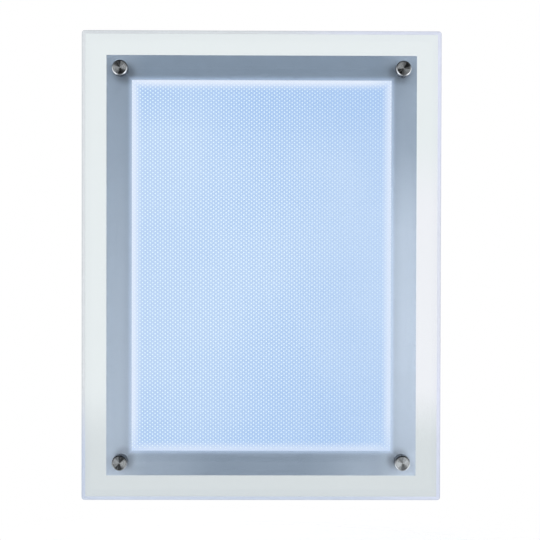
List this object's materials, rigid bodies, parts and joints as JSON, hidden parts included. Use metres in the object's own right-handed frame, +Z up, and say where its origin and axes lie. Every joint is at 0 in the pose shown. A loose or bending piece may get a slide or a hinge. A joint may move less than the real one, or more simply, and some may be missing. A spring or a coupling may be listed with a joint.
{
  "type": "edge-lit light panel",
  "caption": "Wall-hung edge-lit acrylic light panel with a lit window in a silver border, held by turned stand-offs with screw caps.",
  "frame": {"origin": "centre of the four wall screws, on the wall plane", "axes": "+Y points into the wall, so the lit front faces -Y; +Z is up; +X is to the right as seen from the front"},
  "size_m": [0.284, 0.048, 0.371],
  "materials": {
    "front_acrylic": "polished clear acrylic, flame-polished bevel",
    "rear_acrylic": "clear acrylic",
    "silver_print": "satin silver-grey screen print",
    "turned_steel": "turned, fine concentric grooves",
    "plated_steel": "bright zinc plate",
    "soft_washer": "translucent soft plastic",
    "anodised_channel": "satin anodised, drawn lengthwise",
    "white_moulding": "fine moulded texture",
    "foam_tape": "closed-cell foam",
    "light_guide": "lit acrylic, printed with a staggered lattice of white dots",
    "reflector_film": "white film",
    "backing_sheet": "white polystyrene sheet",
    "led_board": "white solder mask",
    "led_package": "white moulded package",
    "resistor": "black chip",
    "solder": "bright tin",
    "red_wire": "PVC insulation",
    "black_wire": "PVC insulation",
    "nickel": "nickel plate",
    "black_insulator": "moulded"
  },
  "bodies": {
    "wall_frame": {"rear_panel": "rear_acrylic", "stud_tl": "plated_steel", "stud_tr": "plated_steel", "stud_bl": "plated_steel", "stud_br": "plated_steel", "spacer_tl": "turned_steel", "spacer_tr": "turned_steel", "spacer_bl": "turned_steel", "spacer_br": "turned_steel", "wall_barrel_tl": "turned_steel", "wall_barrel_tr": "turned_steel", "wall_barrel_bl": "turned_steel", "wall_barrel_br": "turned_steel", "barrel_washers": "soft_washer", "channel_right": "anodised_channel", "channel_top": "anodised_channel", "channel_left": "anodised_channel", "channel_bottom": "anodised_channel", "corner_block_tl": "white_moulding", "corner_block_tr": "white_moulding", "corner_block_bl": "white_moulding", "corner_block_br": "white_moulding", "frame_screws": "plated_steel", "foam_tape": "foam_tape", "light_guide": "light_guide", "reflector": "reflector_film", "backing_plate": "backing_sheet", "led_board_right": "led_board", "led_board_top": "led_board", "led_board_left": "led_board", "led_board_bottom": "led_board", "leds_right": "led_package", "leds_top": "led_package", "leds_left": "led_package", "leds_bottom": "led_package", "resistors": "resistor", "solder_joints": "solder", "jumper_red": "red_wire", "jumper_black": "black_wire", "lead_red": "red_wire", "lead_black": "black_wire", "socket_body": "nickel", "socket_insulator": "black_insulator", "socket_pin": "nickel", "socket_lug": "nickel", "socket_nut": "nickel"},
    "front_cover": {"front_panel": "front_acrylic", "silver_border": "silver_print"},
    "washer_tl": {"cap_washer_tl": "soft_washer"},
    "washer_tr": {"cap_washer_tr": "soft_washer"},
    "washer_bl": {"cap_washer_bl": "soft_washer"},
    "washer_br": {"cap_washer_br": "soft_washer"},
    "cap_tl": {"cap_tl": "turned_steel"},
    "cap_tr": {"cap_tr": "turned_steel"},
    "cap_bl": {"cap_bl": "turned_steel"},
    "cap_br": {"cap_br": "turned_steel"}
  },
  "joints": [
    {"name": "cover_lift", "type": "slide", "parent": "wall_frame", "child": "front_cover", "axis": [0, -1, 0], "range_m": [0, 0.04]},
    {"name": "cap_tl_travel", "type": "slide", "parent": "front_cover", "child": "washer_tl", "axis": [0, -1, 0], "range_m": [0, 0.008]},
    {"name": "cap_tl_turn", "type": "hinge", "parent": "washer_tl", "child": "cap_tl", "pos_m": [-0.1105, -0.0435, 0.154], "axis": [0, -1, 0], "range_deg": [0, 2300]},
    {"name": "cap_tr_travel", "type": "slide", "parent": "front_cover", "child": "washer_tr", "axis": [0, -1, 0], "range_m": [0, 0.008]},
    {"name": "cap_tr_turn", "type": "hinge", "parent": "washer_tr", "child": "cap_tr", "pos_m": [0.1105, -0.0435, 0.154], "axis": [0, -1, 0], "range_deg": [0, 2300]},
    {"name": "cap_bl_travel", "type": "slide", "parent": "front_cover", "child": "washer_bl", "axis": [0, -1, 0], "range_m": [0, 0.008]},
    {"name": "cap_bl_turn", "type": "hinge", "parent": "washer_bl", "child": "cap_bl", "pos_m": [-0.1105, -0.0435, -0.154], "axis": [0, -1, 0], "range_deg": [0, 2300]},
    {"name": "cap_br_travel", "type": "slide", "parent": "front_cover", "child": "washer_br", "axis": [0, -1, 0], "range_m": [0, 0.008]},
    {"name": "cap_br_turn", "type": "hinge", "parent": "washer_br", "child": "cap_br", "pos_m": [0.1105, -0.0435, -0.154], "axis": [0, -1, 0], "range_deg": [0, 2300]}
  ],
  "couplings": [
    {"joint": "cap_tl_travel", "follows": "cap_tl_turn", "m_per_rad": 0.00019894},
    {"joint": "cap_tr_travel", "follows": "cap_tr_turn", "m_per_rad": 0.00019894},
    {"joint": "cap_bl_travel", "follows": "cap_bl_turn", "m_per_rad": 0.00019894},
    {"joint": "cap_br_travel", "follows": "cap_br_turn", "m_per_rad": 0.00019894}
  ]
}
